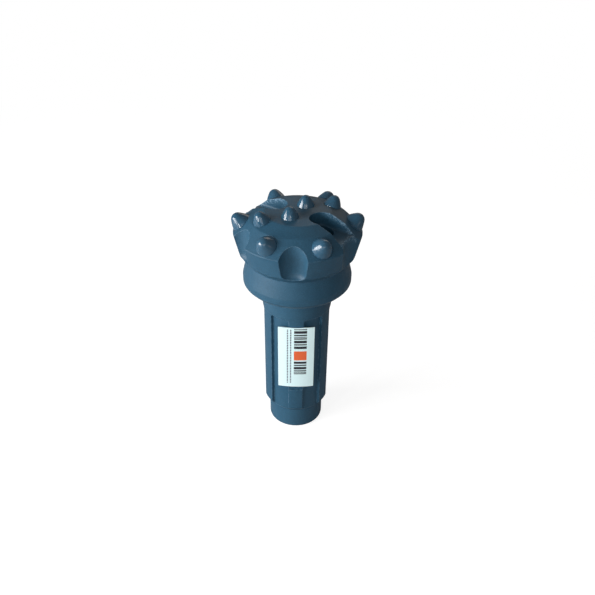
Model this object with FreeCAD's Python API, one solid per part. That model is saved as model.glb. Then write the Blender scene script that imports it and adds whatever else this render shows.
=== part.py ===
import FreeCAD, Part
import math
import os

# Button drill bit for a 90 mm low-pressure down-the-hole hammer. All sizes in millimetres.
# Frame: origin at the centre of the striking face, +Z up the bit's axis to its cutting face.
# The two flushing channels of the face run out along +X and -X. Angles are measured from +X.

# ---- Heights along the axis, each one the length of its own stretch, from the striking face up ----
tail_length = 17.3
spline_chamfer_height = 5.0
spline_length = 81.4
guide_land_length = 17.9
collar_chamfer_height = 3.1
collar_height = 4.6
neck_cone_height = 12.7
underside_height = 5.2
head_side_height = 14.4
gauge_bevel_height = 10.0
face_cone_height = 3.8

# ---- Diameters of the forging ----
tail_diameter = 40.4
guide_land_diameter = 48.7
collar_foot_diameter = 69.2
collar_diameter = 75.0
neck_diameter = 69.0
head_base_diameter = 79.0
gauge_diameter = 86.0
bevel_top_diameter = 63.6
face_disc_diameter = 44.0

# ---- Rounds of the turned profile ----
tail_edge_round = 0.8
shoulder_root_round = 2.5
collar_round = 1.5
neck_round = 1.0
head_edge_round = 0.6
face_round = 3.0

# ---- Splines ----
spline_count = 6
spline_crown_clearance = 0.2
guide_land_lead_in = 1.0
spline_width = 10.4
spline_height = 2.0
spline_turn = 3.0
groove_corner_round = 2.0

# ---- Flats in two opposite splines for the retaining pin ----
pin_flat_depth = 1.4
pin_flat_length = 40.0
pin_flat_above_tail = 23.2
pin_flat_turn = 123.5

# ---- Air passages ----
air_bore_diameter = 18.0
air_bore_short_of_holes = 1.2
air_bore_chamfer = 1.5
drill_point_angle = 118.0
flush_hole_diameter = 15.0
flush_hole_angle = 27.0

# ---- Channels of the face, and the slots that carry them down the side ----
channel_width = 16.8
channel_centre = 18.5
channel_floor_above_gauge = 3.9
channel_floor_round = 2.0
slot_radius = 15.5
slot_floor_distance = 37.2

# ---- Scallops between the gauge buttons ----
scallop_radius = 9.6
scallop_floor_distance = 35.2
scallop_end_round = 6.0
scallop_end_above_neck = 2.2
scallop_angles = (60.0, 120.0, 240.0, 300.0)

# ---- Tungsten carbide buttons ----
gauge_button_diameter = 14.0
gauge_button_seat = 10.0
gauge_button_protrusion = 7.7
gauge_button_tip_radius = 4.5
gauge_button_up_bevel = 7.7
gauge_button_angles = (34.5, 92.0, 148.0)

face_button_diameter = 11.8
face_button_seat = 9.0
face_button_protrusion = 6.9
face_button_tip_radius = 3.8
outer_face_button_radius = 26.0
outer_face_button_angle = 61.0
inner_face_button_radius = 10.1
inner_face_button_angle = 93.0

flank_radius_ratio = 2.2
button_foot_chamfer = 1.0
button_foot_clearance = 0.4

# ---- Stiff label over one of the pin flats ----
label_width = 25.5
label_length = 53.5
label_thickness = 0.6
label_bow_radius = 60.0
label_over_crown = 0.2
label_above_tail = 27.2
label_angle = -57.0

# ---- Levels that follow from the heights ----
spline_foot = tail_length + spline_chamfer_height
groove_top = spline_foot + spline_length
shoulder_level = groove_top + guide_land_length
collar_foot_level = shoulder_level + collar_chamfer_height
collar_top_level = collar_foot_level + collar_height
neck_level = collar_top_level + neck_cone_height
head_base_level = neck_level + underside_height
gauge_level = head_base_level + head_side_height
bevel_top_level = gauge_level + gauge_bevel_height
face_level = bevel_top_level + face_cone_height

# ---- Sizes that follow from the sizes above ----
spline_crown_radius = guide_land_diameter / 2 - spline_crown_clearance
channel_floor_level = gauge_level + channel_floor_above_gauge
flush_hole_start = channel_floor_level - channel_centre / math.tan(math.radians(flush_hole_angle))
air_bore_depth = flush_hole_start - air_bore_short_of_holes

gauge_bevel_run = (gauge_diameter - bevel_top_diameter) / 2
gauge_bevel_slope = math.atan2(gauge_bevel_height, gauge_bevel_run)
face_cone_run = (bevel_top_diameter - face_disc_diameter) / 2
face_cone_slope = math.atan2(face_cone_height, face_cone_run)

# ---- How far the cutting tools run past the steel ----
tool_overrun = 30.0
clear_above = face_level + tool_overrun
clear_outside = gauge_diameter / 2 + tool_overrun
small_overrun = 2.0
same_level = 0.01


def point(x, y, z):
    return FreeCAD.Vector(x, y, z)


def turned(shape, degrees):
    """The shape turned about the bit's axis."""
    copy = shape.copy()
    copy.rotate(point(0, 0, 0), point(0, 0, 1), degrees)
    return copy


def rounded_wire(corners):
    """A closed wire in the XZ plane through (x, z, radius) corners, with tangent arcs at the corners."""
    edges = []
    ends = []
    count = len(corners)
    for index in range(count):
        x, z, radius = corners[index]
        here = point(x, 0, z)
        before = point(corners[index - 1][0], 0, corners[index - 1][1])
        after = point(corners[(index + 1) % count][0], 0, corners[(index + 1) % count][1])
        inward = (before - here).normalize()
        outward = (after - here).normalize()
        if radius == 0:
            ends.append((here, here))
            continue
        half = inward.getAngle(outward) / 2
        reach = radius / math.tan(half)
        middle = (inward + outward).normalize()
        bulge = here + middle * (radius / math.sin(half) - radius)
        start = here + inward * reach
        stop = here + outward * reach
        edges.append(Part.Arc(start, bulge, stop).toShape())
        ends.append((start, stop))
    for index in range(count):
        edges.append(Part.LineSegment(ends[index - 1][1], ends[index][0]).toShape())
    return Part.Wire(Part.__sortEdges__(edges))


def turn_profile(corners):
    """A solid of revolution about the bit's axis."""
    face = Part.Face(rounded_wire(corners))
    return face.revolve(point(0, 0, 0), point(0, 0, 1), 360)


def turned_forging():
    """The outside of the bit as it leaves the lathe, before anything is milled or drilled."""
    return turn_profile([
        (0, 0, 0),
        (tail_diameter / 2, 0, tail_edge_round),
        (tail_diameter / 2, tail_length, 0),
        (spline_crown_radius, spline_foot, 0),
        (spline_crown_radius, groove_top, 0),
        (guide_land_diameter / 2, groove_top + guide_land_lead_in, 0),
        (guide_land_diameter / 2, shoulder_level, shoulder_root_round),
        (collar_foot_diameter / 2, shoulder_level, head_edge_round),
        (collar_diameter / 2, collar_foot_level, collar_round),
        (collar_diameter / 2, collar_top_level, collar_round),
        (neck_diameter / 2, neck_level, neck_round),
        (head_base_diameter / 2, head_base_level, head_edge_round),
        (gauge_diameter / 2, gauge_level, head_edge_round),
        (bevel_top_diameter / 2, bevel_top_level, face_round),
        (face_disc_diameter / 2, face_level, face_round),
        (0, face_level, 0),
    ])


def spline_grooves():
    """The spaces between the splines, with parallel walls and rounded upper corners."""
    floor_radius = spline_crown_radius - spline_height
    height = groove_top - tail_length
    ring = Part.makeCylinder(clear_outside, height, point(0, 0, tail_length))
    ring = ring.cut(Part.makeCylinder(floor_radius, height, point(0, 0, tail_length)))
    bar = Part.makeBox(clear_outside * 2, spline_width, height, point(0, -spline_width / 2, tail_length))
    bars = [turned(bar, spline_turn + 360 / spline_count * index) for index in range(spline_count)]
    spaces = ring.cut(bars).Solids
    rounded = []
    for space in spaces:
        corners = []
        for edge in space.Edges:
            level = all(abs(vertex.Z - groove_top) < same_level for vertex in edge.Vertexes)
            if level and isinstance(edge.Curve, Part.Line):
                corners.append(edge)
        rounded.append(space.makeFillet(groove_corner_round, corners))
    return rounded


def pin_flats():
    """The two flats that the retaining pin slides along, in opposite splines."""
    bottom = tail_length + pin_flat_above_tail
    reach = spline_crown_radius - pin_flat_depth
    width = spline_width + 2 * small_overrun
    block = Part.makeBox(tool_overrun, width, pin_flat_length, point(reach, -width / 2, bottom))
    return [turned(block, pin_flat_turn), turned(block, pin_flat_turn + 180)]


def air_bore():
    """The blind bore that takes the air from the piston, drilled from the striking face."""
    radius = air_bore_diameter / 2
    point_height = radius / math.tan(math.radians(drill_point_angle / 2))
    return turn_profile([
        (0, -small_overrun, 0),
        (radius + air_bore_chamfer + small_overrun, -small_overrun, 0),
        (radius, air_bore_chamfer, 0),
        (radius, air_bore_depth, 0),
        (0, air_bore_depth + point_height, 0),
    ])


def flush_holes():
    """The two inclined holes from the end of the air bore to the floors of the face channels."""
    tilt = math.radians(flush_hole_angle)
    length = channel_centre / math.sin(tilt) + flush_hole_diameter / 2
    hole = Part.makeCylinder(flush_hole_diameter / 2, length, point(0, 0, flush_hole_start),
                             point(math.sin(tilt), 0, math.cos(tilt)))
    return [hole, turned(hole, 180)]


def face_channels():
    """The two milled channels of the face, each with a full round inner end and a rounded floor."""
    height = clear_above - channel_floor_level
    end = Part.makeCylinder(channel_width / 2, height, point(channel_centre, 0, channel_floor_level))
    run = Part.makeBox(clear_outside, channel_width, height,
                       point(channel_centre, -channel_width / 2, channel_floor_level))
    channel = end.fuse(run).removeSplitter()
    floor_edges = []
    for edge in channel.Edges:
        level = all(abs(vertex.Z - channel_floor_level) < same_level for vertex in edge.Vertexes)
        inside = edge.CenterOfMass.x < channel_centre + clear_outside - same_level
        if level and inside:
            floor_edges.append(edge)
    channel = channel.makeFillet(channel_floor_round, floor_edges)
    return [channel, turned(channel, 180)]


def side_cutter(radius, floor_distance, bottom):
    """An upright round cutter that passes down the side of the head as far as the bottom level."""
    return Part.makeCylinder(radius, clear_above - bottom,
                             point(floor_distance + radius, 0, bottom))


def side_slots():
    """The slots that lead the channels down the side of the head to the neck."""
    cutter = side_cutter(slot_radius, slot_floor_distance, neck_level)
    return [turned(cutter, degrees) for degrees in (0, 180)]


def scallops():
    """The hollows between neighbouring gauge buttons, with rounded lower ends."""
    bottom = neck_level + scallop_end_above_neck
    cutter = side_cutter(scallop_radius, scallop_floor_distance, bottom)
    lower_edge = [edge for edge in cutter.Edges if edge.CenterOfMass.z < bottom + same_level]
    cutter = cutter.makeFillet(scallop_end_round, lower_edge)
    return [turned(cutter, degrees) for degrees in scallop_angles]


def flank_centre(radius, protrusion, tip_radius, flank_radius):
    """The centre of the arc that runs from a button's rim to its round tip, touching the tip."""
    tip_centre = protrusion - tip_radius
    span = math.hypot(radius, tip_centre)
    along = (span ** 2 + flank_radius ** 2 - (flank_radius - tip_radius) ** 2) / (2 * span)
    aside = math.sqrt(flank_radius ** 2 - along ** 2)
    unit_x = -radius / span
    unit_z = tip_centre / span
    return (radius + unit_x * along - unit_z * aside, unit_z * along + unit_x * aside)


def make_button(diameter, seat, protrusion, tip_radius):
    """A ballistic button standing on +Z, with the steel's surface at its level zero."""
    radius = diameter / 2
    flank_radius = diameter * flank_radius_ratio
    centre_x, centre_z = flank_centre(radius, protrusion, tip_radius, flank_radius)
    tip_centre = protrusion - tip_radius
    touch_angle = math.atan2(tip_centre - centre_z, -centre_x)
    rim_angle = math.atan2(-centre_z, radius - centre_x)
    flank_angle = (touch_angle + rim_angle) / 2
    tip_angle = (touch_angle + math.pi / 2) / 2
    rim = point(radius, 0, 0)
    flank = point(centre_x + flank_radius * math.cos(flank_angle), 0,
                  centre_z + flank_radius * math.sin(flank_angle))
    touch = point(tip_radius * math.cos(touch_angle), 0,
                  tip_centre + tip_radius * math.sin(touch_angle))
    crown = point(tip_radius * math.cos(tip_angle), 0,
                  tip_centre + tip_radius * math.sin(tip_angle))
    top = point(0, 0, protrusion)
    foot_corners = [
        top,
        point(0, 0, -seat),
        point(radius - button_foot_chamfer, 0, -seat),
        point(radius, 0, button_foot_chamfer - seat),
        rim,
    ]
    edges = [Part.LineSegment(start, stop).toShape()
             for start, stop in zip(foot_corners[:-1], foot_corners[1:])]
    edges.append(Part.Arc(rim, flank, touch).toShape())
    edges.append(Part.Arc(touch, crown, top).toShape())
    face = Part.Face(Part.Wire(edges))
    return face.revolve(point(0, 0, 0), point(0, 0, 1), 360)


def make_seat(diameter, seat):
    """The blind hole for a button, open above the steel's surface."""
    depth = seat + button_foot_clearance
    return Part.makeCylinder(diameter / 2, depth + diameter, point(0, 0, -depth))


def set_in_head(shape, radius, level, lean, degrees):
    """Moves a shape from +Z to its place on the head, leaning outward by lean radians."""
    placed = shape.copy()
    placed.rotate(point(0, 0, 0), point(0, 1, 0), math.degrees(lean))
    placed.translate(point(radius, 0, level))
    return turned(placed, degrees)


def gauge_places():
    """Radius, level, lean and angle of each gauge button, square to the bevel."""
    radius = gauge_diameter / 2 - gauge_button_up_bevel * math.cos(gauge_bevel_slope)
    level = gauge_level + gauge_button_up_bevel * math.sin(gauge_bevel_slope)
    return [(radius, level, gauge_bevel_slope, degrees + half_turn)
            for half_turn in (0, 180) for degrees in gauge_button_angles]


def face_places():
    """The same for the face buttons: two square to the cone and two upright on the flat disc."""
    drop = (outer_face_button_radius - face_disc_diameter / 2) * math.tan(face_cone_slope)
    places = []
    for half_turn in (0, 180):
        places.append((outer_face_button_radius, face_level - drop, face_cone_slope,
                       outer_face_button_angle + half_turn))
        places.append((inner_face_button_radius, face_level, 0, inner_face_button_angle + half_turn))
    return places


def make_body():
    """The one-piece forging with its splines, flats, air passages, channels and button seats."""
    body = turned_forging()
    body = body.cut(spline_grooves())
    body = body.cut(pin_flats())
    body = body.cut(side_slots() + scallops())
    body = body.cut(face_channels())
    body = body.cut([air_bore()] + flush_holes())
    gauge_seat = make_seat(gauge_button_diameter, gauge_button_seat)
    face_seat = make_seat(face_button_diameter, face_button_seat)
    seats = [set_in_head(gauge_seat, *place) for place in gauge_places()]
    seats += [set_in_head(face_seat, *place) for place in face_places()]
    return body.cut(seats)


def make_label():
    """A stiff label, gently bowed, pasted to the crown of one spline and standing off over the grooves."""
    bow_centre = spline_crown_radius + label_over_crown - label_bow_radius
    outside = Part.makeCylinder(label_bow_radius, label_length)
    inside = Part.makeCylinder(label_bow_radius - label_thickness, label_length)
    width_box = Part.makeBox(label_bow_radius, label_width, label_length, point(0, -label_width / 2, 0))
    sheet = outside.cut(inside).common(width_box)
    sheet.translate(point(bow_centre, 0, 0))
    sheet = sheet.cut(Part.makeCylinder(spline_crown_radius, label_length))
    sheet.translate(point(0, 0, tail_length + label_above_tail))
    return turned(sheet, label_angle)


def export(shape, name):
    shape.exportStep("parts/" + name + ".step")
    print(name, "solids", len(shape.Solids), "volume", round(shape.Volume, 1), "valid", shape.isValid())


os.makedirs("parts", exist_ok=True)
export(make_body(), "bit_body")
gauge_button = make_button(gauge_button_diameter, gauge_button_seat,
                           gauge_button_protrusion, gauge_button_tip_radius)
for number, place in enumerate(gauge_places(), 1):
    export(set_in_head(gauge_button, *place), "gauge_button_%d" % number)
face_button = make_button(face_button_diameter, face_button_seat,
                          face_button_protrusion, face_button_tip_radius)
for number, place in enumerate(face_places(), 1):
    export(set_in_head(face_button, *place), "face_button_%d" % number)
export(make_label(), "label")
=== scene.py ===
import bpy
import math
from mathutils import Euler, Matrix, Vector

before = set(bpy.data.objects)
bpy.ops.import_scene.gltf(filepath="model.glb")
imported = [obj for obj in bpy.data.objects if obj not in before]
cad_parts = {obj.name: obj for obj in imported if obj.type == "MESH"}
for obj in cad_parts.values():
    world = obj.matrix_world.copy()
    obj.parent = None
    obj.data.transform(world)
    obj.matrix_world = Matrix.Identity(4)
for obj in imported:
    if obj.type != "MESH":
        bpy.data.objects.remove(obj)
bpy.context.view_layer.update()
scene = bpy.context.scene
print("drill bit frame loaded")

cameraView = {
    "turn": -56.5,        # direction the camera stands in, degrees from +X
    "out": 0.37863,       # metres from the bit's axis
    "aside": 0.00035,
    "height": 0.36467,
    "pitch": 34.23,       # degrees below level
    "roll": 0.69,
    "lens": 38.997,
}


def placeCamera(view):
    turn = math.radians(view["turn"])
    front = Vector((math.cos(turn), math.sin(turn), 0))
    right = Vector((-math.sin(turn), math.cos(turn), 0))
    pitch = math.radians(view["pitch"])
    aim = -front * math.cos(pitch) - Vector((0, 0, math.sin(pitch)))
    camera = bpy.data.objects.new("camera", bpy.data.cameras.new("camera"))
    camera.data.lens = view["lens"]
    camera.data.sensor_width = 36
    camera.data.clip_start = 0.01
    camera.location = front * view["out"] + right * view["aside"] + Vector((0, 0, view["height"]))
    turned = aim.to_track_quat("-Z", "Y").to_matrix() @ Euler((0, 0, math.radians(view["roll"]))).to_matrix()
    camera.rotation_euler = turned.to_euler()
    scene.collection.objects.link(camera)
    scene.camera = camera
    return front, right


cameraFront, cameraRight = placeCamera(cameraView)
print("camera placed")


def addNode(tree, kind, settings=None, inputs=None):
    node = tree.nodes.new(kind)
    for name, value in (settings or {}).items():
        setattr(node, name, value)
    for name, value in (inputs or {}).items():
        if isinstance(value, bpy.types.NodeSocket):
            tree.links.new(value, node.inputs[name])
        else:
            node.inputs[name].default_value = value
    return node


def mathNode(tree, operation, first, second=None, third=None, clamp=False):
    inputs = {0: first}
    if second is not None:
        inputs[1] = second
    if third is not None:
        inputs[2] = third
    return addNode(tree, "ShaderNodeMath", {"operation": operation, "use_clamp": clamp}, inputs).outputs[0]


def smoothRange(tree, value, low, high, outLow=0.0, outHigh=1.0):
    node = addNode(tree, "ShaderNodeMapRange", {"interpolation_type": "SMOOTHSTEP"},
                   {"Value": value, "From Min": low, "From Max": high, "To Min": outLow, "To Max": outHigh})
    return node.outputs["Result"]


def mixColour(tree, factor, first, second):
    node = addNode(tree, "ShaderNodeMix", {"data_type": "RGBA"}, {"Factor": factor})
    for socket, value in ((node.inputs[6], first), (node.inputs[7], second)):
        if isinstance(value, bpy.types.NodeSocket):
            tree.links.new(value, socket)
        else:
            socket.default_value = value
    return node.outputs[2]


def noiseAt(tree, place, scale, detail=2.0, roughness=0.5):
    node = addNode(tree, "ShaderNodeTexNoise", {"noise_dimensions": "3D"},
                   {"Vector": place, "Scale": scale, "Detail": detail, "Roughness": roughness})
    return node.outputs["Fac"]


def startGroup(name, inputs, outputs):
    group = bpy.data.node_groups.new(name, "ShaderNodeTree")
    for label, kind, value in inputs:
        socket = group.interface.new_socket(label, in_out="INPUT", socket_type=kind)
        if value is not None:
            socket.default_value = value
    for label, kind in outputs:
        group.interface.new_socket(label, in_out="OUTPUT", socket_type=kind)
    return group, group.nodes.new("NodeGroupInput").outputs, group.nodes.new("NodeGroupOutput").inputs


def makeRoundedEdge():
    group, given, result = startGroup("roundedEdge", [
        ("Radius", "NodeSocketFloat", 0.0005),
        ("Threshold", "NodeSocketFloat", 0.04),
    ], [("Normal", "NodeSocketVector"), ("Edge", "NodeSocketFloat")])
    rounded = addNode(group, "ShaderNodeBevel", {"samples": 6}, {"Radius": given["Radius"]})
    geometry = addNode(group, "ShaderNodeNewGeometry")
    facing = addNode(group, "ShaderNodeVectorMath", {"operation": "DOT_PRODUCT"},
                     {0: rounded.outputs[0], 1: geometry.outputs["Normal"]}).outputs["Value"]
    away = mathNode(group, "SUBTRACT", 1.0, facing)
    group.links.new(rounded.outputs[0], result["Normal"])
    edge = mathNode(group, "DIVIDE", away, given["Threshold"], clamp=True)
    group.links.new(edge, result["Edge"])
    return group


def makePaintSkin():
    group, given, result = startGroup("paintSkin", [
        ("Grain Size", "NodeSocketFloat", 0.0007),
        ("Peel Size", "NodeSocketFloat", 0.003),
        ("Blotch Size", "NodeSocketFloat", 0.03),
    ], [("Grain", "NodeSocketFloat"), ("Peel", "NodeSocketFloat"), ("Blotch", "NodeSocketFloat"),
        ("Height", "NodeSocketFloat")])
    place = addNode(group, "ShaderNodeTexCoord").outputs["Object"]

    def sized(name, detail, roughness):
        return noiseAt(group, place, mathNode(group, "DIVIDE", 1.0, given[name]), detail, roughness)

    grain = sized("Grain Size", 2.0, 0.6)
    peel = sized("Peel Size", 1.5, 0.5)
    blotch = sized("Blotch Size", 4.0, 0.6)
    group.links.new(grain, result["Grain"])
    group.links.new(peel, result["Peel"])
    group.links.new(blotch, result["Blotch"])
    height = mathNode(group, "MULTIPLY_ADD", grain, 0.4, peel)
    group.links.new(height, result["Height"])
    return group


# upward faces in noisy patches; this mask carries settled dust and a painted reflection
def makeDustAndReflectionMask():
    group, given, result = startGroup("dustAndReflectionGroup", [
        ("Steepness", "NodeSocketFloat", 0.6),
        ("Patch Size", "NodeSocketFloat", 0.02),
    ], [("Dust And Reflection", "NodeSocketFloat")])
    geometry = addNode(group, "ShaderNodeNewGeometry")
    place = addNode(group, "ShaderNodeTexCoord").outputs["Object"]
    up = addNode(group, "ShaderNodeSeparateXYZ", None, {0: geometry.outputs["Normal"]}).outputs["Z"]
    lying = smoothRange(group, up, given["Steepness"], 1.0)
    patches = noiseAt(group, place, mathNode(group, "DIVIDE", 1.0, given["Patch Size"]), 5.0, 0.65)
    patches = smoothRange(group, patches, 0.34, 0.66)
    dustAndReflection = mathNode(group, "MULTIPLY", lying, patches)
    group.links.new(dustAndReflection, result["Dust And Reflection"])
    return group


roundedEdge = makeRoundedEdge()
paintSkin = makePaintSkin()
dustAndReflectionGroup = makeDustAndReflectionMask()
print("shader groups built")


steelPaint = {
    "base": (0.019, 0.076, 0.132, 1),
    "faded": (0.026, 0.088, 0.146, 1),
    # lighter paint colour, used for the painted edge highlight and the painted light on the channel lip
    "edge": (0.19, 0.31, 0.42, 1),
    # brown-grey of dust and of the painted reflection on the far side of the face
    "dustAndReflection": (0.105, 0.118, 0.122, 1),
    "roughness": 0.45,
    "specular": 0.3,
    "edgeRadius": 0.0005,
    "edgeLight": 0.55,
    "grain": 0.0007,
    "peel": 0.0026,
    "blotch": 0.03,
    "bump": 0.45,
    "reflectionDustSteepness": 0.75,
    "reflectionDustPatch": 0.02,
    "reflectionDustAmount": 0.75,
    "reflectionDustFrom": -0.012,       # metres towards the side of the face with the painted reflection and dust
    "reflectionDustTo": 0.02,
    "millMark": 0.0011,       # size of the rough marks on the channel walls and of the painted glints along their lip
    "millDepth": 2.2,
    "lipGlintStrength": 0.8,
}

carbidePaint = {
    "base": (0.019, 0.076, 0.132, 1),
    "faded": (0.028, 0.088, 0.148, 1),
    "edge": (0.16, 0.26, 0.34, 1),
    "roughness": 0.13,
    "specular": 0.6,
    "grain": 0.0006,
    "peel": 0.0022,
    "blotch": 0.012,
    "bump": 0.1,
}


def groupNode(tree, group, **inputs):
    node = tree.nodes.new("ShaderNodeGroup")
    node.node_tree = group
    for name, value in inputs.items():
        node.inputs[name.replace("_", " ")].default_value = value
    return node


def startMaterial(name):
    material = bpy.data.materials.new(name)
    material.use_nodes = True
    tree = material.node_tree
    shader = tree.nodes["Principled BSDF"]
    return material, tree, shader


def makeSteelPaint(paint):
    material, tree, shader = startMaterial("steelPaint")
    skin = groupNode(tree, paintSkin, Grain_Size=paint["grain"], Peel_Size=paint["peel"], Blotch_Size=paint["blotch"])
    edge = groupNode(tree, roundedEdge, Radius=paint["edgeRadius"], Threshold=0.05)
    dustAndReflection = groupNode(tree, dustAndReflectionGroup, Steepness=paint["reflectionDustSteepness"], Patch_Size=paint["reflectionDustPatch"])
    place = addNode(tree, "ShaderNodeTexCoord").outputs["Object"]

    tone = smoothRange(tree, skin.outputs["Blotch"], 0.3, 0.7)
    colour = mixColour(tree, tone, paint["base"], paint["faded"])
    speckle = smoothRange(tree, skin.outputs["Grain"], 0.35, 0.75, 0.88, 1.14)
    colour = addNode(tree, "ShaderNodeHueSaturation", None, {"Color": colour, "Value": speckle}).outputs[0]

    # painted reflection, partly dust: upward faces on the side away from the camera turn brown-grey, standing in for
    # the warm reflection seen there
    back = addNode(tree, "ShaderNodeVectorMath", {"operation": "DOT_PRODUCT"},
                   {0: place, 1: tuple(cameraRight * 0.55 - cameraFront * 0.83)}).outputs["Value"]
    back = smoothRange(tree, back, paint["reflectionDustFrom"], paint["reflectionDustTo"])
    dustyReflection = mathNode(tree, "MULTIPLY", dustAndReflection.outputs["Dust And Reflection"], back)
    dustyReflection = mathNode(tree, "MULTIPLY", dustyReflection, paint["reflectionDustAmount"], clamp=True)
    colour = mixColour(tree, dustyReflection, colour, paint["dustAndReflection"])

    # the channel walls are rougher than the turned surfaces, and their top strip is lightened with painted light and
    # glints where the key light falls above the near wall's shade
    parts = addNode(tree, "ShaderNodeSeparateXYZ", None, {0: place})
    aside = mathNode(tree, "LESS_THAN", mathNode(tree, "ABSOLUTE", parts.outputs["Y"]), 0.0086)
    along = smoothRange(tree, mathNode(tree, "ABSOLUTE", parts.outputs["X"]), 0.012, 0.022)
    out = addNode(tree, "ShaderNodeVectorMath", {"operation": "LENGTH"},
                  {0: addNode(tree, "ShaderNodeCombineXYZ", None, {"X": parts.outputs["X"],
                                                                   "Y": parts.outputs["Y"]}).outputs[0]}).outputs["Value"]
    lip = mathNode(tree, "MINIMUM", mathNode(tree, "MULTIPLY_ADD", out, -0.388, 0.1839),
                   mathNode(tree, "MULTIPLY_ADD", out, -0.893, 0.2000))
    below = mathNode(tree, "SUBTRACT", mathNode(tree, "MINIMUM", lip, 0.1754), parts.outputs["Z"])
    nearLip = smoothRange(tree, below, 0.0012, 0.0045, 1.0, 0.0)
    milledAndLitLip = mathNode(tree, "MULTIPLY", mathNode(tree, "MULTIPLY", aside, along), nearLip)
    marks = noiseAt(tree, place, 1 / paint["millMark"], 2.0, 0.7)
    paintedLipLight = mathNode(tree, "MULTIPLY", milledAndLitLip, smoothRange(tree, marks, 0.42, 0.68, 0.0, paint["lipGlintStrength"]))
    colour = mixColour(tree, paintedLipLight, colour, paint["edge"])

    # painted highlight: rounded edges are lightened towards the edge colour in broken patches, standing in for the
    # bright lines the light draws along them
    highlightBreaks = smoothRange(tree, skin.outputs["Peel"], 0.42, 0.62)
    edgeHighlight = mathNode(tree, "MULTIPLY", mathNode(tree, "MULTIPLY", edge.outputs["Edge"], highlightBreaks), paint["edgeLight"])
    colour = mixColour(tree, edgeHighlight, colour, paint["edge"])
    tree.links.new(colour, shader.inputs["Base Color"])

    roughness = smoothRange(tree, skin.outputs["Grain"], 0.3, 0.7, paint["roughness"] - 0.06, paint["roughness"] + 0.1)
    roughness = mathNode(tree, "MULTIPLY_ADD", dustyReflection, 0.25, roughness, clamp=True)
    tree.links.new(roughness, shader.inputs["Roughness"])
    shader.inputs["Specular IOR Level"].default_value = paint["specular"]

    height = mathNode(tree, "MULTIPLY_ADD", mathNode(tree, "MULTIPLY", milledAndLitLip, marks), paint["millDepth"],
                      skin.outputs["Height"])
    bump = addNode(tree, "ShaderNodeBump", None, {"Strength": paint["bump"], "Distance": 0.0002,
                                                  "Height": height, "Normal": edge.outputs["Normal"]})
    tree.links.new(bump.outputs[0], shader.inputs["Normal"])
    return material


def makeCarbidePaint(paint):
    material, tree, shader = startMaterial("carbidePaint")
    skin = groupNode(tree, paintSkin, Grain_Size=paint["grain"], Peel_Size=paint["peel"], Blotch_Size=paint["blotch"])
    tone = smoothRange(tree, skin.outputs["Blotch"], 0.3, 0.7)
    colour = mixColour(tree, tone, paint["base"], paint["faded"])
    thin = smoothRange(tree, skin.outputs["Peel"], 0.62, 0.85, 0.0, 0.15)
    colour = mixColour(tree, thin, colour, paint["edge"])
    tree.links.new(colour, shader.inputs["Base Color"])
    roughness = smoothRange(tree, skin.outputs["Peel"], 0.3, 0.7, paint["roughness"] - 0.05, paint["roughness"] + 0.12)
    tree.links.new(roughness, shader.inputs["Roughness"])
    shader.inputs["Specular IOR Level"].default_value = paint["specular"]
    bump = addNode(tree, "ShaderNodeBump", None, {"Strength": paint["bump"], "Distance": 0.0002,
                                                  "Height": skin.outputs["Height"]})
    tree.links.new(bump.outputs[0], shader.inputs["Normal"])
    return material


labelPrint = {
    "turn": 57.0,         # turns the label's outward direction onto +X
    "stock": (0.74, 0.94, 0.96, 1),
    "ink": (0.012, 0.014, 0.022, 1),
    "accent": (0.78, 0.13, 0.035, 1),
    "rule": (0.05, 0.05, 0.10, 1),
    "roughness": 0.38,
    "top": 0.0971,
    "bottom": 0.0565,
    "barLeft": -0.0015,
    "barRight": 0.0075,
    "accentTop": 0.0776,
    "accentBottom": 0.0694,
    "ruleLeft": -0.0073,
    "ruleRight": -0.0029,
    "ruleTop": 0.0965,
    "ruleBottom": 0.0480,
}


def within(tree, value, low, high):
    above = mathNode(tree, "GREATER_THAN", value, low)
    below = mathNode(tree, "LESS_THAN", value, high)
    return mathNode(tree, "MULTIPLY", above, below)


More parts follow.
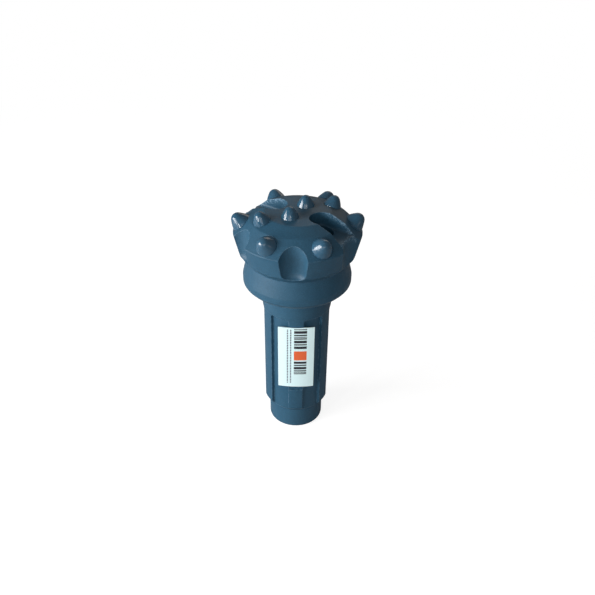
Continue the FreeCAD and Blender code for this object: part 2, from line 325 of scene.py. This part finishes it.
def makeLabelStock(look):
    material, tree, shader = startMaterial("labelStock")
    place = addNode(tree, "ShaderNodeTexCoord").outputs["Object"]
    turned = addNode(tree, "ShaderNodeMapping", None, {"Vector": place, "Rotation": (0, 0, math.radians(look["turn"]))})
    parts = addNode(tree, "ShaderNodeSeparateXYZ", None, {0: turned.outputs[0]})
    across, along = parts.outputs["Y"], parts.outputs["Z"]

    # a broken column of plain bars with one orange band, and two thin ruled lines
    coarse = mathNode(tree, "SINE", mathNode(tree, "MULTIPLY", along, 2350.0))
    fine = mathNode(tree, "SINE", mathNode(tree, "MULTIPLY", along, 3710.0))
    bars = mathNode(tree, "GREATER_THAN", mathNode(tree, "ADD", coarse, fine), -0.35)
    column = mathNode(tree, "MULTIPLY", within(tree, across, look["barLeft"], look["barRight"]),
                      within(tree, along, look["bottom"], look["top"]))
    band = within(tree, along, look["accentBottom"], look["accentTop"])
    orange = mathNode(tree, "MULTIPLY", column, band)
    gap = within(tree, along, look["accentBottom"] - 0.0012, look["accentTop"] + 0.0012)
    bars = mathNode(tree, "MULTIPLY", mathNode(tree, "MULTIPLY", column, bars), mathNode(tree, "SUBTRACT", 1.0, gap))

    dashes = mathNode(tree, "GREATER_THAN", mathNode(tree, "SINE", mathNode(tree, "MULTIPLY", along, 4200.0)), -0.5)
    strip = mathNode(tree, "MULTIPLY", within(tree, across, look["ruleLeft"], look["ruleRight"]),
                     within(tree, along, look["ruleBottom"], look["ruleTop"]))
    lines = mathNode(tree, "GREATER_THAN", mathNode(tree, "SINE", mathNode(tree, "MULTIPLY", across, 2856.0)), 0.2)
    rules = mathNode(tree, "MULTIPLY", mathNode(tree, "MULTIPLY", strip, lines), dashes)

    fibre = noiseAt(tree, place, 900.0, 3.0, 0.6)
    stock = mixColour(tree, smoothRange(tree, fibre, 0.3, 0.7, 0.0, 0.08), look["stock"], (0.45, 0.6, 0.64, 1))
    colour = mixColour(tree, bars, stock, look["ink"])
    colour = mixColour(tree, rules, colour, look["rule"])
    colour = mixColour(tree, orange, colour, look["accent"])
    tree.links.new(colour, shader.inputs["Base Color"])
    tree.links.new(smoothRange(tree, fibre, 0.3, 0.7, look["roughness"] - 0.04, look["roughness"] + 0.08),
                   shader.inputs["Roughness"])
    bump = addNode(tree, "ShaderNodeBump", None, {"Strength": 0.1, "Distance": 0.0001, "Height": fibre})
    tree.links.new(bump.outputs[0], shader.inputs["Normal"])
    return material


steelPaintMaterial = makeSteelPaint(steelPaint)
carbidePaintMaterial = makeCarbidePaint(carbidePaint)
labelMaterial = makeLabelStock(labelPrint)


def dress(node, material):
    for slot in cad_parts[node].material_slots:
        slot.material = material


dress("bit_body", steelPaintMaterial)
dress("label", labelMaterial)
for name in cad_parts:
    if "button" in name:
        dress(name, carbidePaintMaterial)
print("paint and label on")

# turn is measured from the camera's side, rise from the floor, away from the middle of the bit
studio = {
    "key": {"turn": -70, "rise": 14, "away": 1.2, "width": 0.8, "height": 0.6, "power": 19.0, "colour": (1, 1, 1)},
    "front": {"turn": -5, "rise": 20, "away": 1.2, "width": 0.8, "height": 0.5, "power": 2.4, "colour": (1, 1, 1)},
    "window": {"turn": -40, "rise": 10, "away": 1.2, "width": 0.07, "height": 0.3, "power": 2.6, "colour": (1, 1, 1)},
    "leftSpot": {"turn": -86, "rise": 12, "away": 1.2, "width": 0.12, "height": 0.12, "power": 0.7, "colour": (1, 1, 1)},
    "frontSpot": {"turn": 14, "rise": 27, "away": 1.2, "width": 0.08, "height": 0.08, "power": 0.3, "colour": (1, 1, 1)},
    "rightSpot": {"turn": 55, "rise": 9, "away": 1.2, "width": 0.08, "height": 0.08, "power": 0.2, "colour": (1, 1, 1)},
    "back": {"turn": 165, "rise": 30, "away": 1.3, "width": 0.8, "height": 0.5, "power": 1.5, "colour": (1.0, 0.92, 0.84)},
    "world": 0.19,
}


def placeLamp(name, lamp):
    turn = math.radians(cameraView["turn"] + lamp["turn"])
    rise = math.radians(lamp["rise"])
    centre = Vector((0, 0, 0.12))
    way = Vector((math.cos(turn) * math.cos(rise), math.sin(turn) * math.cos(rise), math.sin(rise)))
    light = bpy.data.lights.new(name, "AREA")
    light.shape = "RECTANGLE"
    light.size = lamp["width"]
    light.size_y = lamp["height"]
    light.energy = lamp["power"]
    light.color = lamp["colour"]
    holder = bpy.data.objects.new(name, light)
    holder.location = centre + way * lamp["away"]
    holder.rotation_euler = (-way).to_track_quat("-Z", "Y").to_euler()
    scene.collection.objects.link(holder)


for name, lamp in studio.items():
    if name != "world":
        placeLamp(name + "Lamp", lamp)


def makeWorld():
    world = bpy.data.worlds.new("studioWorld")
    scene.world = world
    world.use_nodes = True
    tree = world.node_tree
    background = tree.nodes["Background"]
    rays = addNode(tree, "ShaderNodeLightPath")
    seen = mathNode(tree, "MAXIMUM", rays.outputs["Is Camera Ray"], rays.outputs["Is Transmission Ray"])
    background.inputs["Color"].default_value = (1, 1, 1, 1)
    tree.links.new(smoothRange(tree, seen, 0.0, 1.0, studio["world"], 1.0), background.inputs["Strength"])


makeWorld()

floorLook = {"half": 6.0, "tone": (0.5, 0.5, 0.5, 1), "nearLift": 0.82, "farLift": 1.0, "direct": 0.4, "near": 0.1, "far": 0.9}


def makeFloor(look):
    half = look["half"]
    mesh = bpy.data.meshes.new("floor")
    mesh.from_pydata([(-half, -half, 0), (half, -half, 0), (half, half, 0), (-half, half, 0)], [], [(0, 1, 2, 3)])
    floor = bpy.data.objects.new("floor", mesh)
    floor.location.z = -0.0002
    scene.collection.objects.link(floor)
    material = bpy.data.materials.new("floorWhite")
    material.use_nodes = True
    tree = material.node_tree
    tree.nodes.clear()
    rays = addNode(tree, "ShaderNodeLightPath")
    place = addNode(tree, "ShaderNodeTexCoord").outputs["Object"]
    out = addNode(tree, "ShaderNodeVectorMath", {"operation": "LENGTH"}, {0: place}).outputs["Value"]
    fade = smoothRange(tree, out, look["near"], look["far"])
    plain = addNode(tree, "ShaderNodeBsdfDiffuse", None, {"Color": look["tone"]})
    shade = mixColour(tree, fade, (look["direct"],) * 3 + (1,), (0, 0, 0, 1))
    shown = addNode(tree, "ShaderNodeBsdfDiffuse", None, {"Color": shade})
    lift = smoothRange(tree, out, look["near"], look["far"], look["nearLift"], look["farLift"])
    glow = addNode(tree, "ShaderNodeEmission", None, {"Strength": lift})
    both = addNode(tree, "ShaderNodeAddShader")
    tree.links.new(shown.outputs[0], both.inputs[0])
    tree.links.new(glow.outputs[0], both.inputs[1])
    mix = addNode(tree, "ShaderNodeMixShader")
    tree.links.new(rays.outputs["Is Camera Ray"], mix.inputs[0])
    tree.links.new(plain.outputs[0], mix.inputs[1])
    tree.links.new(both.outputs[0], mix.inputs[2])
    output = addNode(tree, "ShaderNodeOutputMaterial")
    tree.links.new(mix.outputs[0], output.inputs[0])
    mesh.materials.append(material)


makeFloor(floorLook)
scene.view_settings.view_transform = "Standard"
print("light and floor set")
